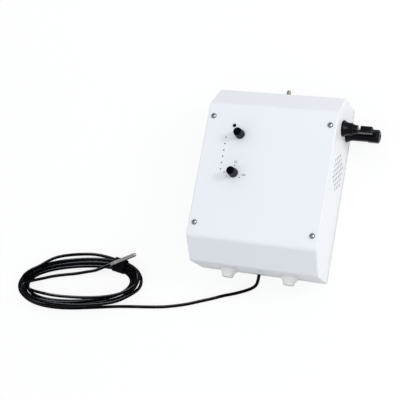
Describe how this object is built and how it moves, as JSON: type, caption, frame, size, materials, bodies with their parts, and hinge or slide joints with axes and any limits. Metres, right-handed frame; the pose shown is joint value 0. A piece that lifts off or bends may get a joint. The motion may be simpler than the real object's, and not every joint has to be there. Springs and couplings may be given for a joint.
{
  "type": "solar string inverter",
  "caption": "White wall-mounted inverter case with sloped ends, two dials, a button, status lights, side vents, solar connectors, cable glands and a coiled temperature lead.",
  "frame": {"origin": "middle of the back plate's wall face", "axes": "+X to the right across the front, +Y up the front, +Z out of the wall; it lies on its back"},
  "size_m": [0.5344, 0.3686, 0.1036],
  "materials": {
    "cover_plastic": "gloss",
    "gasket_foam": "matt",
    "grommet_rubber": "matt",
    "seal_rubber": "matt",
    "steel": "satin",
    "board": "satin",
    "brass": "satin",
    "black_plastic": "satin",
    "grey_plastic": "satin",
    "light_plastic": "gloss",
    "chip": "matt",
    "heat_sink": "satin",
    "capacitor": "gloss",
    "relay_plastic": "satin",
    "choke": "satin",
    "terminal_plastic": "satin",
    "red_rubber": "matt",
    "gland_plastic": "satin",
    "lead_sheath": "satin",
    "probe_steel": "satin"
  },
  "bodies": {
    "housing": {"back_plate": "cover_plastic", "rear_gasket": "gasket_foam", "front_cover": "cover_plastic", "left_rail": "steel", "right_rail": "steel", "rail_screws": "steel", "cover_screws": "steel", "control_board": "board", "control_screws": "steel", "upper_pot": "grey_plastic", "lower_pot": "grey_plastic", "button_switch": "black_plastic", "light_pipes": "light_plastic", "light_chips": "chip", "main_board": "board", "main_standoffs": "brass", "main_screws": "steel", "heat_sink": "heat_sink", "power_transistors": "black_plastic", "storage_capacitors": "capacitor", "relay": "relay_plastic", "output_choke": "choke", "terminal_block": "terminal_plastic", "terminal_screws": "steel", "fan_frame": "black_plastic", "fan_screws": "steel", "front_pv_socket": "black_plastic", "rear_pv_socket": "black_plastic", "pv_nuts": "black_plastic", "pv_seals": "seal_rubber", "pv_contacts": "steel", "pv_ring": "red_rubber", "gland_bodies": "gland_plastic", "gland_domes": "gland_plastic", "gland_seals": "seal_rubber", "gland_locknuts": "gland_plastic", "earth_stud": "brass", "earth_nuts": "brass", "earth_washers": "brass", "sensor_grommet": "grommet_rubber", "inner_lead": "lead_sheath", "sensor_lead": "lead_sheath", "sensor_coil": "lead_sheath", "cable_wrap": "black_plastic", "sensor_probe": "probe_steel"},
    "upper_dial": {"upper_knob": "black_plastic", "upper_shaft": "steel"},
    "lower_dial": {"lower_knob": "black_plastic", "lower_shaft": "steel"},
    "button": {"push_button": "black_plastic"},
    "rotor": {"fan_rotor": "black_plastic"}
  },
  "joints": [
    {"name": "upper_dial_turn", "type": "hinge", "parent": "housing", "child": "upper_dial", "pos_m": [-0.0415, 0.0545, 0.095], "axis": [0, 0, 1], "range_deg": [-135, 135]},
    {"name": "lower_dial_turn", "type": "hinge", "parent": "housing", "child": "lower_dial", "pos_m": [-0.0415, -0.0025, 0.095], "axis": [0, 0, 1], "range_deg": [-135, 135]},
    {"name": "button_press", "type": "slide", "parent": "housing", "child": "button", "axis": [0, 0, -1], "range_m": [0, 0.0005], "stiffness_N_per_m": 2000},
    {"name": "fan_spin", "type": "hinge", "parent": "housing", "child": "rotor", "pos_m": [0.084, 0.0235, 0.0425], "axis": [1, 0, 0], "continuous": true}
  ]
}
